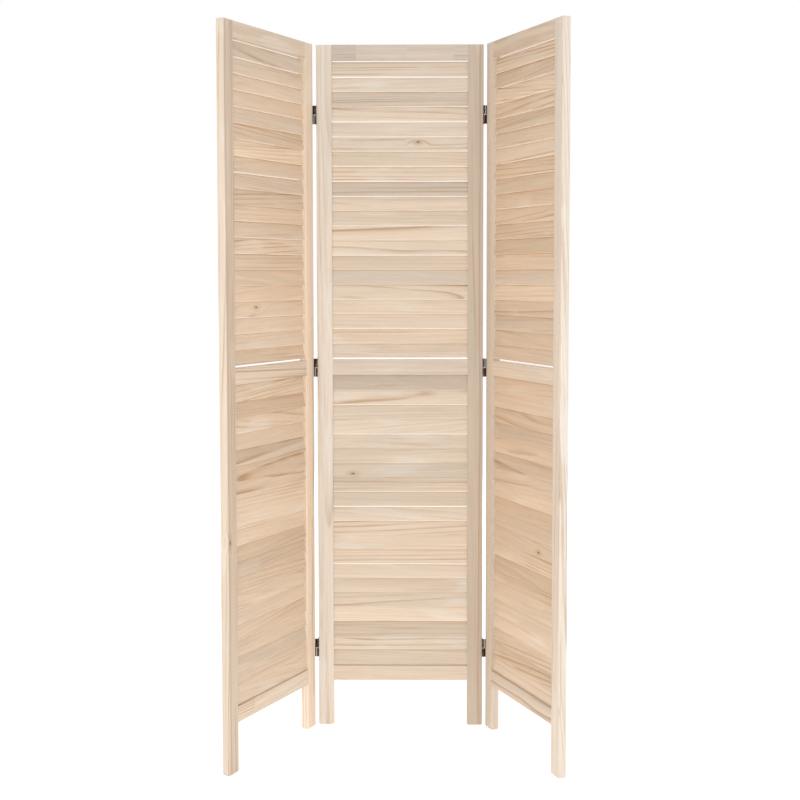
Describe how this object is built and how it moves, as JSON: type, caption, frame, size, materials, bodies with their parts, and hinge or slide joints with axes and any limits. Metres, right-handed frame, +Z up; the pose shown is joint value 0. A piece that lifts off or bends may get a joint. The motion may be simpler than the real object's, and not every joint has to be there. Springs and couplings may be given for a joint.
{
  "type": "folding screen",
  "caption": "Free-standing folding screen of three louvred wooden panels joined by two-way hinges, so that each wing folds forward or back.",
  "frame": {"origin": "on the floor, under the middle of the standing screen's outline", "axes": "+Z up, +Y towards the back, +X to the right seen from the front; the wings swing forward towards -Y"},
  "size_m": [0.7784, 0.4119, 1.7],
  "materials": {
    "frame_wood": "bare pale paulownia-like wood, planed",
    "slat_wood": "bare pale paulownia-like wood, planed, grain along the slat",
    "hinge_sheet": "dark antique bronze",
    "hinge_pin": "dark antique bronze"
  },
  "bodies": {
    "centre_panel": {"centre_left_stile": "frame_wood", "centre_right_stile": "frame_wood", "centre_bottom_rail": "frame_wood", "centre_mid_rail": "frame_wood", "centre_top_rail": "frame_wood", "centre_lower_slats": "slat_wood", "centre_upper_slats": "slat_wood", "left_bottom_hinge_centre_leaf": "hinge_sheet", "left_bottom_hinge_front_pin": "hinge_pin", "left_mid_hinge_centre_leaf": "hinge_sheet", "left_mid_hinge_front_pin": "hinge_pin", "left_top_hinge_centre_leaf": "hinge_sheet", "left_top_hinge_front_pin": "hinge_pin", "right_bottom_hinge_centre_leaf": "hinge_sheet", "right_bottom_hinge_front_pin": "hinge_pin", "right_mid_hinge_centre_leaf": "hinge_sheet", "right_mid_hinge_front_pin": "hinge_pin", "right_top_hinge_centre_leaf": "hinge_sheet", "right_top_hinge_front_pin": "hinge_pin"},
    "left_links": {"left_bottom_hinge_link": "hinge_sheet", "left_bottom_hinge_back_pin": "hinge_pin", "left_mid_hinge_link": "hinge_sheet", "left_mid_hinge_back_pin": "hinge_pin", "left_top_hinge_link": "hinge_sheet", "left_top_hinge_back_pin": "hinge_pin"},
    "left_wing": {"left_wing_outer_stile": "frame_wood", "left_wing_inner_stile": "frame_wood", "left_wing_bottom_rail": "frame_wood", "left_wing_mid_rail": "frame_wood", "left_wing_top_rail": "frame_wood", "left_wing_lower_slats": "slat_wood", "left_wing_upper_slats": "slat_wood", "left_bottom_hinge_wing_leaf": "hinge_sheet", "left_mid_hinge_wing_leaf": "hinge_sheet", "left_top_hinge_wing_leaf": "hinge_sheet"},
    "right_links": {"right_bottom_hinge_link": "hinge_sheet", "right_bottom_hinge_back_pin": "hinge_pin", "right_mid_hinge_link": "hinge_sheet", "right_mid_hinge_back_pin": "hinge_pin", "right_top_hinge_link": "hinge_sheet", "right_top_hinge_back_pin": "hinge_pin"},
    "right_wing": {"right_wing_inner_stile": "frame_wood", "right_wing_outer_stile": "frame_wood", "right_wing_bottom_rail": "frame_wood", "right_wing_mid_rail": "frame_wood", "right_wing_top_rail": "frame_wood", "right_wing_lower_slats": "slat_wood", "right_wing_upper_slats": "slat_wood", "right_bottom_hinge_wing_leaf": "hinge_sheet", "right_mid_hinge_wing_leaf": "hinge_sheet", "right_top_hinge_wing_leaf": "hinge_sheet"}
  },
  "joints": [
    {"name": "left_front_fold", "type": "hinge", "parent": "centre_panel", "child": "left_links", "pos_m": [-0.19857, 0.18315, 0.906], "axis": [0, 0, 1], "range_deg": [-66, 114]},
    {"name": "left_back_fold", "type": "hinge", "parent": "left_links", "child": "left_wing", "pos_m": [-0.22382, 0.19035, 0.906], "axis": [0, 0, 1], "range_deg": [-90, 0]},
    {"name": "right_front_fold", "type": "hinge", "parent": "centre_panel", "child": "right_links", "pos_m": [0.21833, 0.18315, 0.906], "axis": [0, 0, -1], "range_deg": [-69, 21]},
    {"name": "right_back_fold", "type": "hinge", "parent": "right_links", "child": "right_wing", "pos_m": [0.24393, 0.18901, 0.906], "axis": [0, 0, -1], "range_deg": [-180, 0]}
  ]
}
